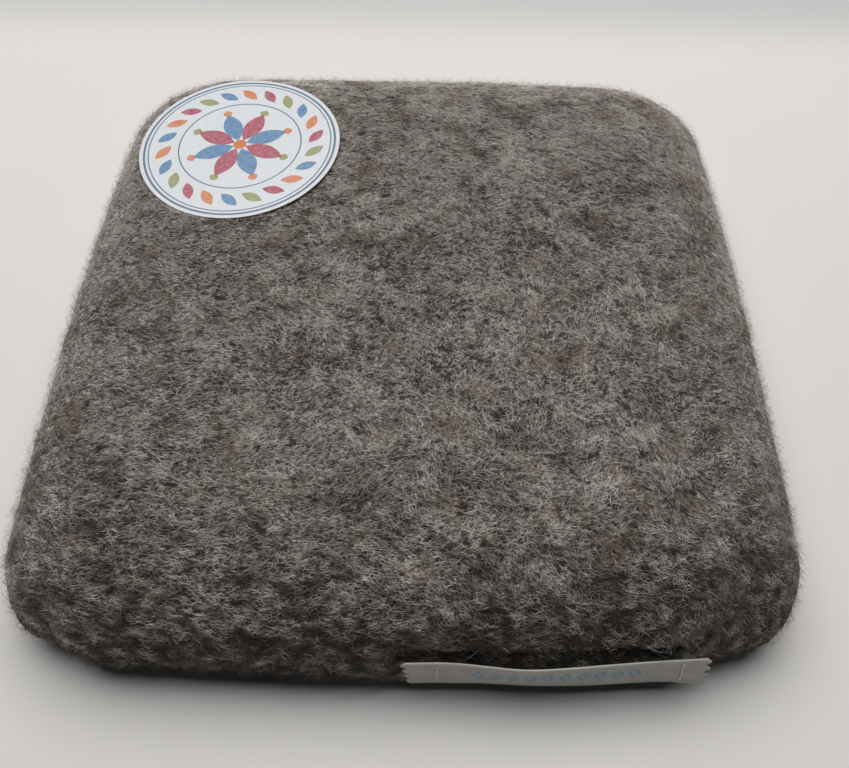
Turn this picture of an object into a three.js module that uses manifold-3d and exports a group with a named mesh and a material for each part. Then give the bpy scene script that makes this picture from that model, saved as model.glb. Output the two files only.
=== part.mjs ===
// Needle felting mat: a square block of felted wool with a sewn ribbon label and a round sticker.
// Millimetres, +Z up. The origin is the middle of the base, and +Y points to the back of the mat.
import * as THREE from 'three';
import { mergeVertices } from 'three/addons/utils/BufferGeometryUtils.js';
import Module from 'manifold-3d';

const wasm = await Module();
wasm.setup();

// Clearance between neighbouring pieces
const fitGap = 0.3;

// Felted block: sizes at its widest line, the belt
const matWidth = 203;
const matDepth = 204;
const matHeight = 38;
const beltHeight = 10;
const sideBow = 1.8; // how far the middle of each side swells past its corners
const cornerBackRight = 31;
const cornerBackLeft = 35;
const cornerFrontLeft = 25;
const cornerFrontRight = 28;
const cornerTightening = 0.6; // how fast the corners sharpen towards the middle of the top
const plateauInset = 44; // where the crown of the top turns flat
const frontPlateauInset = 54; // the front shoulder slopes further in than the others
const shoulderFullness = 3.2; // 2 is an ellipse, more fills the shoulder out
const footInset = 7; // how far the rounded lower edge tucks in
const skinThickness = 4;
const battCount = 5;

// Ribbon label, sewn across the front side
const labelLength = 74;
const labelWidth = 12.7;
const labelThickness = 0.4;
const labelFromRightSide = 28;
const labelMidHeight = 12.8;
const labelLean = THREE.MathUtils.degToRad(10); // its top edge leans towards the mat
const labelSlack = 1.1; // how far it stands off between its stitches
const labelSlackSkew = 0.75; // 1 is even, less gathers the slack left of the middle
const labelEndCurl = 0.3; // how far its ends lift past the stitches
const pinkTeeth = 4;
const pinkDepth = 1.5;
const pinkRoot = 1.1; // plain ribbon between the teeth and the first column of the mesh

// Sewing thread, one long stitch near each end of the label
const threadDiameter = 0.5;
const stitchFromLeftEnd = 9;
const stitchFromRightEnd = 6.5;
const rightStitchSlant = 0.9; // the foot of the right stitch is this much further right
const stitchEdgeMargin = 1.4; // from the label's long edges to the needle holes
const stitchCover = 1; // felt left between a stitch's end and the core

// Round sticker on the back left of the top
const stickerDiameter = 63.5;
const filmThickness = 0.3;
const adhesiveThickness = 0.2;
const adhesiveMargin = 0.4; // the adhesive stops this far inside the film's rim
const stickerFromLeftSide = 45.8;
const stickerFromBackSide = 51;
const stickerLean = THREE.MathUtils.degToRad(2.2); // down to the left
const stickerSink = 1.5; // how far it presses the highest felt under it down

// Mesh density
const cornerSteps = 7;
const sideSteps = 6;
const shoulderSteps = 8;
const footSteps = 5;
const labelSteps = 26;
const threadSteps = 40;
const threadSides = 6;
const holeSides = 10;
const stickerSides = 64;

const wool = { color: 0x6b655e, roughness: 0.95, metalness: 0 };
const carded = { color: 0x8b8379, roughness: 0.95, metalness: 0 };
const ribbon = { color: 0xe9e7e3, roughness: 0.7, metalness: 0 };
const thread = { color: 0xf4f2ee, roughness: 0.6, metalness: 0 };
const vinyl = { color: 0xf3f3f2, roughness: 0.35, metalness: 0 };
const glue = { color: 0xd9d6cc, roughness: 0.5, metalness: 0 };

const mat = new THREE.Group();

function addMesh(parent, name, geometry, look) {
  geometry.computeVertexNormals();
  const mesh = new THREE.Mesh(geometry, new THREE.MeshStandardMaterial(look));
  mesh.name = name;
  parent.add(mesh);
}

function indexedGeometry(positions, indices) {
  const geometry = new THREE.BufferGeometry();
  geometry.setAttribute('position', new THREE.Float32BufferAttribute(positions, 3));
  geometry.setIndex(indices);
  return geometry;
}

// Closed meshes to boolean solids and back
function toSolid(geometry) {
  const bare = geometry.clone();
  bare.deleteAttribute('normal');
  bare.deleteAttribute('uv');
  const merged = mergeVertices(bare);
  return new wasm.Manifold(new wasm.Mesh({
    numProp: 3,
    vertProperties: new Float32Array(merged.attributes.position.array),
    triVerts: new Uint32Array(merged.index.array),
  }));
}

function toGeometry(solid) {
  const mesh = solid.getMesh();
  return indexedGeometry(Array.from(mesh.vertProperties), Array.from(mesh.triVerts));
}

function cutAll(geometry, tools) {
  let solid = toSolid(geometry);
  for (const tool of tools) {
    solid = solid.subtract(toSolid(tool));
  }
  return toGeometry(solid);
}

// Plan outline of the mat, drawn in by an inset, as a ring of points at one height
const corners = [
  { sideX: 1, sideY: 1, radius: cornerBackRight, start: 0 },
  { sideX: -1, sideY: 1, radius: cornerBackLeft, start: Math.PI / 2 },
  { sideX: -1, sideY: -1, radius: cornerFrontLeft, start: Math.PI },
  { sideX: 1, sideY: -1, radius: cornerFrontRight, start: 1.5 * Math.PI },
];

function bowAt(share) {
  return 4 * sideBow * share * (1 - share);
}

function ring(inset, height, frontInset = inset) {
  const arcs = corners.map(({ sideX, sideY, radius, start }) => {
    const tight = radius * radius / (radius + cornerTightening * inset);
    const x = sideX * (matWidth / 2 - inset - tight);
    const y = sideY * (matDepth / 2 - (sideY < 0 ? frontInset : inset) - tight);
    return { start, at: (angle) => new THREE.Vector3(
      x + tight * Math.cos(angle), y + tight * Math.sin(angle), height) };
  });
  const points = [];
  arcs.forEach((arc, index) => {
    for (let step = 0; step <= cornerSteps; step++) {
      points.push(arc.at(arc.start + (Math.PI / 2) * (step / cornerSteps)));
    }
    const next = arcs[(index + 1) % arcs.length];
    const from = points.at(-1);
    const to = next.at(next.start);
    const outward = new THREE.Vector3(Math.cos(next.start), Math.sin(next.start), 0);
    for (let step = 1; step < sideSteps; step++) {
      const share = step / sideSteps;
      points.push(from.clone().lerp(to, share).addScaledVector(outward, bowAt(share)));
    }
  });
  return points;
}

// Closed loft through rings of equal count, each end closed by a fan about its middle
function loft(rings) {
  const count = rings[0].length;
  const positions = rings.flat().flatMap((point) => point.toArray());
  const indices = [];
  for (let row = 0; row < rings.length - 1; row++) {
    for (let step = 0; step < count; step++) {
      const a = row * count + step;
      const b = row * count + (step + 1) % count;
      indices.push(a, b, b + count, a, b + count, a + count);
    }
  }
  const endRows = [0, rings.length - 1];
  endRows.forEach((row, end) => {
    const middle = new THREE.Vector3();
    rings[row].forEach((point) => middle.addScaledVector(point, 1 / count));
    const hub = positions.length / 3;
    positions.push(...middle.toArray());
    for (let step = 0; step < count; step++) {
      const a = row * count + step;
      const b = row * count + (step + 1) % count;
      indices.push(hub, end === 0 ? b : a, end === 0 ? a : b);
    }
  });
  return indexedGeometry(positions, indices);
}

// Side profile of the block: a full shoulder above the belt and a tucked foot below it
function shoulderRings(sideInset, beltZ, topZ) {
  return Array.from({ length: shoulderSteps + 1 }, (_, step) => {
    const turn = (Math.PI / 2) * (step / shoulderSteps);
    const draw = 1 - Math.max(Math.cos(turn), 0) ** (2 / shoulderFullness);
    const inset = sideInset + (plateauInset - sideInset) * draw;
    const frontInset = sideInset + (frontPlateauInset - sideInset) * draw;
    return ring(inset, beltZ + (topZ - beltZ) * Math.sin(turn), frontInset);
  });
}

function footRings(sideInset, beltZ, bottomZ) {
  return Array.from({ length: footSteps + 1 }, (_, step) => {
    const turn = (Math.PI / 2) * (step / footSteps);
    const inset = sideInset + (footInset - sideInset) * (1 - Math.cos(turn));
    return ring(inset, beltZ + (bottomZ - beltZ) * Math.sin(turn));
  });
}

// How far the front face lies inside the belt line at a height
function outerInset(height) {
  if (height > beltHeight) {
    const rise = (height - beltHeight) / (matHeight - beltHeight);
    return frontPlateauInset * (1 - (1 - rise * rise) ** (1 / shoulderFullness));
  }
  const fall = (beltHeight - height) / beltHeight;
  return footInset * (1 - Math.sqrt(1 - fall * fall));
}

// Front edge of the belt at x
function frontLine(x) {
  const leftEnd = -matWidth / 2 + cornerFrontLeft;
  const rightEnd = matWidth / 2 - cornerFrontRight;
  const straight = -matDepth / 2;
  if (x > rightEnd) {
    return straight + cornerFrontRight - Math.sqrt(cornerFrontRight ** 2 - (x - rightEnd) ** 2);
  }
  if (x < leftEnd) {
    return straight + cornerFrontLeft - Math.sqrt(cornerFrontLeft ** 2 - (leftEnd - x) ** 2);
  }
  return straight - bowAt((x - leftEnd) / (rightEnd - leftEnd));
}

// A point of the label: along from its left end, across from its middle, out from its back face
const labelLeft = matWidth / 2 - labelFromRightSide - labelLength;
const rightStitch = labelLength - stitchFromRightEnd;

// Where the leaning label meets the felt: the outermost felt across its width
const labelSeat = Array.from({ length: labelSteps + 1 }, (_, step) => {
  const across = labelWidth * (step / labelSteps - 0.5);
  return outerInset(labelMidHeight + across * Math.cos(labelLean)) - across * Math.sin(labelLean);
}).reduce((nearest, inset) => Math.min(nearest, inset));

function labelStandOff(along) {
  const share = (along - stitchFromLeftEnd) / (rightStitch - stitchFromLeftEnd);
  if (share < 0) {
    return fitGap + labelEndCurl * (1 - along / stitchFromLeftEnd) ** 2;
  }
  if (share > 1) {
    return fitGap + labelEndCurl * ((along - rightStitch) / stitchFromRightEnd) ** 2;
  }
  return fitGap + labelSlack * Math.sin(Math.PI * share ** labelSlackSkew) ** 2;
}

function labelPoint(along, across, out) {
  const x = labelLeft + along;
  const back = frontLine(x) + labelSeat - labelStandOff(along);
  return new THREE.Vector3(
    x,
    back + across * Math.sin(labelLean) - out * Math.cos(labelLean),
    labelMidHeight + across * Math.cos(labelLean) + out * Math.sin(labelLean));
}

// Ribbon as a thin bent strip whose ends are cut in a zigzag
function ribbonGeometry() {
  const rows = 2 * pinkTeeth;
  const firstColumn = pinkDepth + pinkRoot;
  const pitch = (labelLength - 2 * firstColumn) / labelSteps;
  const alongAt = (column, row) => {
    const notch = row % 2 === 0 ? 0 : pinkDepth;
    if (column === 0) {
      return notch;
    }
    return column === labelSteps + 2 ? labelLength - notch : firstColumn + (column - 1) * pitch;
  };
  const columns = labelSteps + 3;
  const positions = [];
  for (const out of [0, labelThickness]) {
    for (let column = 0; column < columns; column++) {
      for (let row = 0; row <= rows; row++) {
        const across = labelWidth * (row / rows - 0.5);
        positions.push(...labelPoint(alongAt(column, row), across, out).toArray());
      }
    }
  }
  const layer = columns * (rows + 1);
  const at = (column, row) => column * (rows + 1) + row;
  const indices = [];
  const quad = (a, b, c, d) => indices.push(a, b, c, a, c, d);
  for (let column = 0; column < columns - 1; column++) {
    for (let row = 0; row < rows; row++) {
      const a = at(column, row);
      const b = at(column + 1, row);
      const c = at(column + 1, row + 1);
      const d = at(column, row + 1);
      quad(layer + a, layer + b, layer + c, layer + d);
      quad(d, c, b, a);
    }
  }
  const rim = [];
  for (let column = 0; column < columns - 1; column++) {
    rim.push(at(column, 0));
  }
  for (let row = 0; row < rows; row++) {
    rim.push(at(columns - 1, row));
  }
  for (let column = columns - 1; column > 0; column--) {
    rim.push(at(column, rows));
  }
  for (let row = rows; row > 0; row--) {
    rim.push(at(0, row));
  }
  rim.forEach((a, index) => {
    const b = rim[(index + 1) % rim.length];
    quad(a, b, layer + b, layer + a);
  });
  return indexedGeometry(positions, indices);
}

// Long stitches over the label, with both legs sunk in the felt
const holeRadius = threadDiameter / 2 + fitGap;
const holeAcross = labelWidth / 2 - stitchEdgeMargin;

function legEnd(entry) {
  const felt = frontLine(entry.x) + outerInset(entry.z);
  return new THREE.Vector3(entry.x, felt + skinThickness - stitchCover, entry.z);
}

function stitchEntries(alongTop, alongFoot) {
  return [
    labelPoint(alongTop, holeAcross, labelThickness),
    labelPoint(alongFoot, -holeAcross, labelThickness),
  ];
}

function stitchGeometry([top, foot]) {
  const proud = new THREE.Vector3(0, -holeRadius, 0);
  const bend = foot.clone().sub(top).setLength(holeRadius);
  const topTurn = top.clone().add(proud);
  const footTurn = foot.clone().add(proud);
  const runStart = topTurn.clone().add(bend);
  const runEnd = footTurn.clone().sub(bend);
  const path = new THREE.CurvePath();
  path.add(new THREE.LineCurve3(legEnd(top), top));
  path.add(new THREE.QuadraticBezierCurve3(top, topTurn, runStart));
  path.add(new THREE.LineCurve3(runStart, runEnd));
  path.add(new THREE.QuadraticBezierCurve3(runEnd, footTurn, foot));
  path.add(new THREE.LineCurve3(foot, legEnd(foot)));
  const section = new THREE.Shape();
  for (let side = 0; side < threadSides; side++) {
    const angle = 2 * Math.PI * side / threadSides;
    const point = [Math.cos(angle) * threadDiameter / 2, Math.sin(angle) * threadDiameter / 2];
    if (side === 0) {
      section.moveTo(...point);
    } else {
      section.lineTo(...point);
    }
  }
  return new THREE.ExtrudeGeometry(section, { steps: threadSteps, extrudePath: path, bevelEnabled: false });
}

// Needle hole along a stitch leg, from outside the label to just past the leg's end
function needleHole(entry) {
  const outside = entry.y - holeRadius;
  const length = legEnd(entry).y + fitGap - outside;
  const hole = new THREE.CylinderGeometry(holeRadius, holeRadius, length, holeSides);
  return hole.translate(entry.x, outside + length / 2, entry.z);
}

const leftStitch = stitchEntries(stitchFromLeftEnd, stitchFromLeftEnd);
const slantedStitch = stitchEntries(rightStitch, rightStitch + rightStitchSlant);
const needleHoles = [...leftStitch, ...slantedStitch].map(needleHole);

// Felted skins, open to each other only along the belt
const upperBelt = beltHeight + fitGap / 2;
const lowerBelt = beltHeight - fitGap / 2;
const topOuter = shoulderRings(0, upperBelt, matHeight);
const topInner = shoulderRings(skinThickness, upperBelt, matHeight - skinThickness);
const topSkin = loft([...topInner.reverse(), ...topOuter]);
const bottomOuter = footRings(0, lowerBelt, 0);
const bottomInner = footRings(skinThickness, lowerBelt, skinThickness);
const bottomSkin = loft([...bottomOuter.reverse(), ...bottomInner]);

// Sticker: a flat stiff disc that leans and is pressed into the highest felt under it
const stickerRadius = stickerDiameter / 2;
const stickerX = -matWidth / 2 + stickerFromLeftSide;
const stickerY = matDepth / 2 - stickerFromBackSide;
const normal = new THREE.Vector3(-Math.sin(stickerLean), 0, Math.cos(stickerLean));
const highestFelt = topOuter.flat().reduce((highest, point) => {
  const reach = new THREE.Vector3(point.x - stickerX, point.y - stickerY, point.z);
  const inReach = Math.hypot(reach.x, reach.y) < stickerRadius + skinThickness;
  return inReach ? Math.max(highest, reach.dot(normal) / normal.z) : highest;
}, 0);
const sticker = new THREE.Group();
sticker.position.set(stickerX, stickerY, highestFelt - stickerSink + fitGap);
sticker.rotation.y = -stickerLean;
mat.add(sticker);

function disc(radius, bottom, thickness) {
  const plate = new THREE.CylinderGeometry(radius, radius, thickness, stickerSides);
  return plate.rotateX(Math.PI / 2).translate(0, 0, bottom + thickness / 2);
}

addMesh(sticker, 'sticker_adhesive', disc(stickerRadius - adhesiveMargin, 0, adhesiveThickness), glue);
addMesh(sticker, 'sticker_film', disc(stickerRadius, adhesiveThickness + fitGap, filmThickness), vinyl);

// The dent that the sticker makes in the felt
const dent = disc(stickerRadius + fitGap, -fitGap, skinThickness);
sticker.updateMatrix();
dent.applyMatrix4(sticker.matrix);
addMesh(mat, 'top_skin', cutAll(topSkin, [...needleHoles, dent]), wool);
addMesh(mat, 'bottom_skin', cutAll(bottomSkin, needleHoles), wool);

// Core of carded batts: one block that fits the skins, sliced flat
const coreInset = skinThickness + fitGap;
const coreBottom = coreInset;
const coreTop = matHeight - coreInset;
const coreFoot = footRings(coreInset, lowerBelt, coreBottom).reverse();
const core = toSolid(loft([...coreFoot, ...shoulderRings(coreInset, upperBelt, coreTop)]));
const battPitch = (coreTop - coreBottom) / battCount;
for (let batt = 0; batt < battCount; batt++) {
  const slab = new THREE.BoxGeometry(matWidth, matDepth, battPitch - fitGap);
  slab.translate(0, 0, coreBottom + (batt + 0.5) * battPitch);
  addMesh(mat, `core_batt_${batt + 1}`, toGeometry(core.intersect(toSolid(slab))), carded);
}

// Label and its stitches
addMesh(mat, 'ribbon_label', cutAll(ribbonGeometry(), needleHoles), ribbon);
addMesh(mat, 'label_stitch_left', stitchGeometry(leftStitch), thread);
addMesh(mat, 'label_stitch_right', stitchGeometry(slantedStitch), thread);

export default mat;
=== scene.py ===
import math

import bmesh
import bpy
import numpy as np
from mathutils import Matrix, Vector, noise
from mathutils.bvhtree import BVHTree


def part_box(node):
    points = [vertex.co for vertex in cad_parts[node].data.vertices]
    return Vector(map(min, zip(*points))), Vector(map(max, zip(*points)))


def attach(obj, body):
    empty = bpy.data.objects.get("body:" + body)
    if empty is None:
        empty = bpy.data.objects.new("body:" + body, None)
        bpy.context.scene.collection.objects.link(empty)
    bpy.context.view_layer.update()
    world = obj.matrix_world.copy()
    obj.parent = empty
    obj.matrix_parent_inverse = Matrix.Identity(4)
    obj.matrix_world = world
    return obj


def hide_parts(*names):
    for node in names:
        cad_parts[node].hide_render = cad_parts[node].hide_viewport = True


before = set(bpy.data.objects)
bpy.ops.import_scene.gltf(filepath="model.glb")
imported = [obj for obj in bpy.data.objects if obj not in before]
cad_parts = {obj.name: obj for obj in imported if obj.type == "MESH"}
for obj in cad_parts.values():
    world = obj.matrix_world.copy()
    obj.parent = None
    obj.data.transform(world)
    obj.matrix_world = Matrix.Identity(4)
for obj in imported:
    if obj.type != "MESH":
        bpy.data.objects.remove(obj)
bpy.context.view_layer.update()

mm = 0.001
scene = bpy.context.scene
scene.view_settings.view_transform = "Standard"
print("frame loaded,", len(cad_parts), "nodes")


# Shared helpers

def linear(hexColour):  # sRGB hex to linear RGBA
    parts = [int(hexColour[i:i + 2], 16) / 255 for i in (1, 3, 5)]
    return [c / 12.92 if c <= 0.04045 else ((c + 0.055) / 1.055) ** 2.4 for c in parts] + [1.0]


def addNode(tree, kind, settings=None, inputs=None):
    node = tree.nodes.new(kind)
    for name, value in (settings or {}).items():
        setattr(node, name, value)
    for name, value in (inputs or {}).items():
        if isinstance(value, bpy.types.NodeSocket):
            tree.links.new(value, node.inputs[name])
        else:
            node.inputs[name].default_value = value
    return node


def mathSteps(tree, values, steps):  # a chain of math nodes, each result kept under its name
    for name, operation, first, second in steps:
        inputs = {0: values.get(first, first), 1: values.get(second, second)}
        values[name] = addNode(tree, "ShaderNodeMath", {"operation": operation}, inputs).outputs[0]
    return values


def startMaterial(name, sockets):
    material = bpy.data.materials.new(name)
    material.use_nodes = True
    shader = material.node_tree.nodes["Principled BSDF"]
    for socket, value in sockets.items():
        shader.inputs[socket].default_value = value
    return material, material.node_tree, shader


def addRamp(tree, value, stops, blend="LINEAR"):  # colour by (place, hex) pairs
    node = addNode(tree, "ShaderNodeValToRGB", None, {"Fac": value})
    ramp = node.color_ramp
    ramp.interpolation = blend
    while len(ramp.elements) < len(stops):
        ramp.elements.new(1.0)
    for element, (place, hexColour) in zip(ramp.elements, stops):
        element.position = place
        element.color = linear(hexColour)
    return node.outputs["Color"]


def addMix(tree, factor, first, second):
    return addNode(tree, "ShaderNodeMix", {"data_type": "RGBA"}, {
        "Factor": factor, "A": first, "B": second}).outputs["Result"]


def addBump(tree, shader, height, distance, strength=1.0):  # distance in mm
    bump = addNode(tree, "ShaderNodeBump", None, {
        "Height": height, "Strength": strength, "Distance": distance * mm})
    tree.links.new(bump.outputs["Normal"], shader.inputs["Normal"])


def triangleMesh(name, points, triangles):
    mesh = bpy.data.meshes.new(name)
    mesh.vertices.add(len(points))
    mesh.vertices.foreach_set("co", np.asarray(points, np.float32).ravel())
    mesh.loops.add(len(triangles) * 3)
    mesh.loops.foreach_set("vertex_index", np.asarray(triangles, np.int32).ravel())
    mesh.polygons.add(len(triangles))
    mesh.polygons.foreach_set("loop_start", np.arange(0, len(triangles) * 3, 3, dtype=np.int32))
    mesh.update(calc_edges=True)
    mesh.shade_smooth()
    return mesh


def addPiece(name, mesh, materials, nodes=()):
    piece = bpy.data.objects.new(name, mesh)
    scene.collection.objects.link(piece)
    if len(mesh.materials):
        mesh.materials.clear()
    for material in materials:
        mesh.materials.append(material)
    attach(piece, "root")
    if nodes:
        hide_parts(*nodes)
    return piece


def shaped(mesh, modifiers):  # the mesh after a list of (type, settings) modifiers
    holder = bpy.data.objects.new("holder", mesh)
    scene.collection.objects.link(holder)
    for kind, settings in modifiers:
        modifier = holder.modifiers.new(kind, kind)
        for name, value in settings.items():
            setattr(modifier, name, value)
    bpy.context.view_layer.update()
    result = bpy.data.meshes.new_from_object(holder.evaluated_get(bpy.context.evaluated_depsgraph_get()))
    bpy.data.objects.remove(holder)
    return result


def pointsOf(mesh):
    points = np.empty(len(mesh.vertices) * 3, np.float32)
    mesh.vertices.foreach_get("co", points)
    return points.reshape(-1, 3).astype(float)


def normalsOf(mesh):
    normals = np.empty(len(mesh.vertices) * 3, np.float32)
    mesh.vertex_normals.foreach_get("vector", normals)
    return normals.reshape(-1, 3).astype(float)


def noiseAt(points, size, shift=0.0):  # smooth noise, one lump about size mm across
    spots = points / (size * mm) + np.array([shift, shift * 0.37, -shift * 0.61])
    return np.array([noise.noise(p) for p in spots.tolist()])


def unit(vectors):
    return vectors / np.maximum(np.linalg.norm(vectors, axis=-1, keepdims=True), 1e-12)


def treeOf(mesh):
    return BVHTree.FromPolygons([v.co for v in mesh.vertices], [p.vertices for p in mesh.polygons])


def trianglesOf(mesh):  # one corner, two sides and twice the area vector of each triangle
    mesh.calc_loop_triangles()
    corners = np.array([t.vertices for t in mesh.loop_triangles])
    a, b, c = (pointsOf(mesh)[corners[:, i]] for i in range(3))
    return a, b - a, c - a, np.cross(b - a, c - a)


# Camera, where the photograph was taken from

camera = {
    "focal": 765.9,                   # pixels
    "frameWidth": 849,                # pixels
    "place": (3.51, -141.05, 205.73),  # mm
    "pitch": 58.285,                  # degrees below the horizon
    "yaw": 0.409,
    "roll": 1.467,
}


def placeCamera():
    pitch, yaw, roll = (math.radians(camera[k]) for k in ("pitch", "yaw", "roll"))
    sight = Vector((math.sin(yaw) * math.cos(pitch), math.cos(yaw) * math.cos(pitch), -math.sin(pitch)))
    level = sight.cross(Vector((0, 0, 1))).normalized()
    upright = level.cross(sight)
    right = level * math.cos(roll) + upright * math.sin(roll)
    up = upright * math.cos(roll) - level * math.sin(roll)
    data = bpy.data.cameras.new("camera")
    data.sensor_fit = "HORIZONTAL"
    data.sensor_width = 36
    data.lens = camera["focal"] / camera["frameWidth"] * data.sensor_width
    data.clip_start = 0.01
    eye = bpy.data.objects.new("camera", data)
    turn = Matrix((right, up, -sight)).transposed()
    eye.matrix_world = Matrix.Translation(Vector(camera["place"]) * mm) @ turn.to_4x4()
    scene.collection.objects.link(eye)
    scene.camera = eye


placeCamera()
print("camera placed")


# Ribbon label on the front side, held by a stitch near each end

label = {
    "flat": (74, 12.7),   # mm, length and width as cut
    "thickness": 0.34,
    "selvage": 0.9,       # mm wide, along both long edges
    "selvageThickness": 0.62,
    "clear": 0.5,         # mm behind its face that stays free of wool
    "twist": (60, 0.9, 0.6),  # mm along where its right end turns, foot out and head in
    "sag": (32, 11, 0.5),  # mm along, reach and how far the head hangs out there
    "tuck": (26, 15, 0.7),  # the same for its foot, which lies closer in there
    "setBack": (1.0, 0.7),  # mm into the felt, its foot and its head
    "bed": (0.45, 4.2),   # mm from its face to the felt, at its foot and its head
    "bedFade": (3, 2.2),  # mm past its ends and its edges where the felt comes back
    "bedReach": 12,       # mm in from its face, felt that can meet it
    "freeEnd": 8,         # mm of its right end that stand clear of the felt
    "pinkDepth": 1.5,     # mm, the zigzag of the cut ends
    "pinkTeeth": 4,
    "skew": 1.8,          # mm, both cut ends stand further right at the foot
    "skewReach": 6,       # mm in from an end
    "columns": 190,
    "rows": 60,
    "ripple": 0.16,       # mm, creases along the cloth
    # greyed below white as painted shade on its front face
    "thread": "#bebbb6",
    "print": "#58a0c2",
    "lozenge": (4.2, 3.2),  # mm, pitch along the ribbon and half height
    "printed": (16, 60),    # mm along the ribbon, where the print starts and ends
}


def labelLines():  # depth of the CAD ribbon's face along two lines, near its foot and its head
    tree = treeOf(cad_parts["ribbon_label"].data)
    low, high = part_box("ribbon_label")
    length, width = label["flat"]
    spots = np.linspace(4, length - 4, 69)
    levels = (2, width - 2)
    lines = []
    for level in levels:
        rise = low.z + (high.z - low.z) * level / width
        line = []
        for spot in spots:
            for nudge in (0, 1.2, -1.2):  # mm, past a needle hole
                eye = Vector((low.x + (spot + nudge) * mm, low.y - 0.05, rise))
                hit = tree.ray_cast(eye, Vector((0, 1, 0)))[0]
                if hit:
                    break
            line.append(hit.y)
        lines.append(line)
    return spots, levels, lines


ribbonFace = labelLines()


def labelDepth(along, up):  # depth of its face, mm along and up, carried on past its ends
    spots, levels, lines = ribbonFace
    past = along - np.clip(along, spots[0], spots[-1])
    foot, head = (np.interp(along, spots, line) + past * np.interp(along, spots, np.gradient(line, spots))
                  for line in lines)
    depth = foot + (head - foot) * (up - levels[0]) / (levels[1] - levels[0])
    (length, width), (start, out, inward) = label["flat"], label["twist"]
    turn = np.clip((along - start) / (length - start), 0, 1) ** 2
    sag, tuck = (amount * np.exp(-((along - place) / reach) ** 2)
                 for place, reach, amount in (label["sag"], label["tuck"]))
    share = up / width
    footBack, headBack = label["setBack"]
    head, foot = headBack + turn * inward - sag, footBack + tuck - turn * out
    return depth + (head * share + foot * (1 - share)) * mm


# Felted block: the two skins, shaped from the outside of the solids

felt = {
    "voxel": 1.2,       # mm between points of the skin
    "smoothing": 6,
    "lumps": [(34, 0.5), (9, 0.3), (3.2, 0.22)],  # mm across, mm high
    "pitSize": 1.05,    # mm across, gaps where the needle has drawn the fibre down
    "pitStretch": 0.6,  # gaps run longer from left to right
    "pitFrom": 0.26,    # noise level that starts a pit, higher is fewer
    "pitSoft": 0.2,     # noise from a pit's edge to its bottom
    "pitDepth": 0.3,
    "napRoom": 0.6,     # mm that the sides stand back, for the nap on them
    "frontPits": 0.13,  # lower start of the pits on the front shoulder and side
    "pitted": (70, 30),  # mm in front of the middle where that sets in, and over how far
    "drawnIn": [(81, 9.5, 4.0), (-85, 6.5, 2.5)],  # mm along the front, reach and depth
    "drawnFrom": (50, 30),  # mm in front of the middle where that sets in, and over how far
    "crease": (21, 3.5, 0.5),  # mm up, half height and depth of a fold along the front side
    "lip": (9.5, 4, 0.4),  # mm up, half height and reach of the roll below it
    "dentRim": 1.6,     # mm round the sticker in which the felt gives under it
    "dentRoom": 0.25,   # mm from the adhesive's middle down to the felt
    "patches": [(24, 0.24), (11, 0.4), (5, 0.54), (2.4, 0.58), (1.2, 0.5)],  # mm across and weight, shades
    "patchStretch": 0.7,  # patches run longer from left to right
    "thickness": 3.6,   # mm of skin
    "basePress": 1.5,   # mm above the table where the lumps fade out
    "fill": 0.8,
}

fleece = {
    "grey": ["#3e3833", "#645c54", "#8b837a", "#b0a89f", "#cac2b9", "#e1dad1", "#f6efe7"],
    "brown": ["#4f4139", "#7f6c60", "#a59283", "#c4b4a5"],
    "spread": (0.04, 1.0),  # how far neighbouring strands differ in shade, at front and back and between
    "spreadReach": 70,      # mm in from front and back
    "pale": (0.58, 0.85),   # lifts the whole fleece, likewise
    "frontPaintedShade": 0.72,      # painted shade, darker fleece on the front shoulder
    "rightPaintedShade": 0.43,      # and painted shade on the right side
    "frontPaintedClumps": (3.2, 1.7),  # mm across and weight, stronger patches on the front shoulder, painted light and shade between its clumps
    "backPaintedLight": 0.28,       # painted light, paler towards the back
    "backReach": 45,        # mm from the middle over which it turns paler
    "proud": 0.2,           # painted light and shade: how much paler the strands that lie on top are than the low ones
    "brownSize": 10,        # mm across one brown patch
    "brownFrom": 0.36,      # higher is fewer
}


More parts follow.
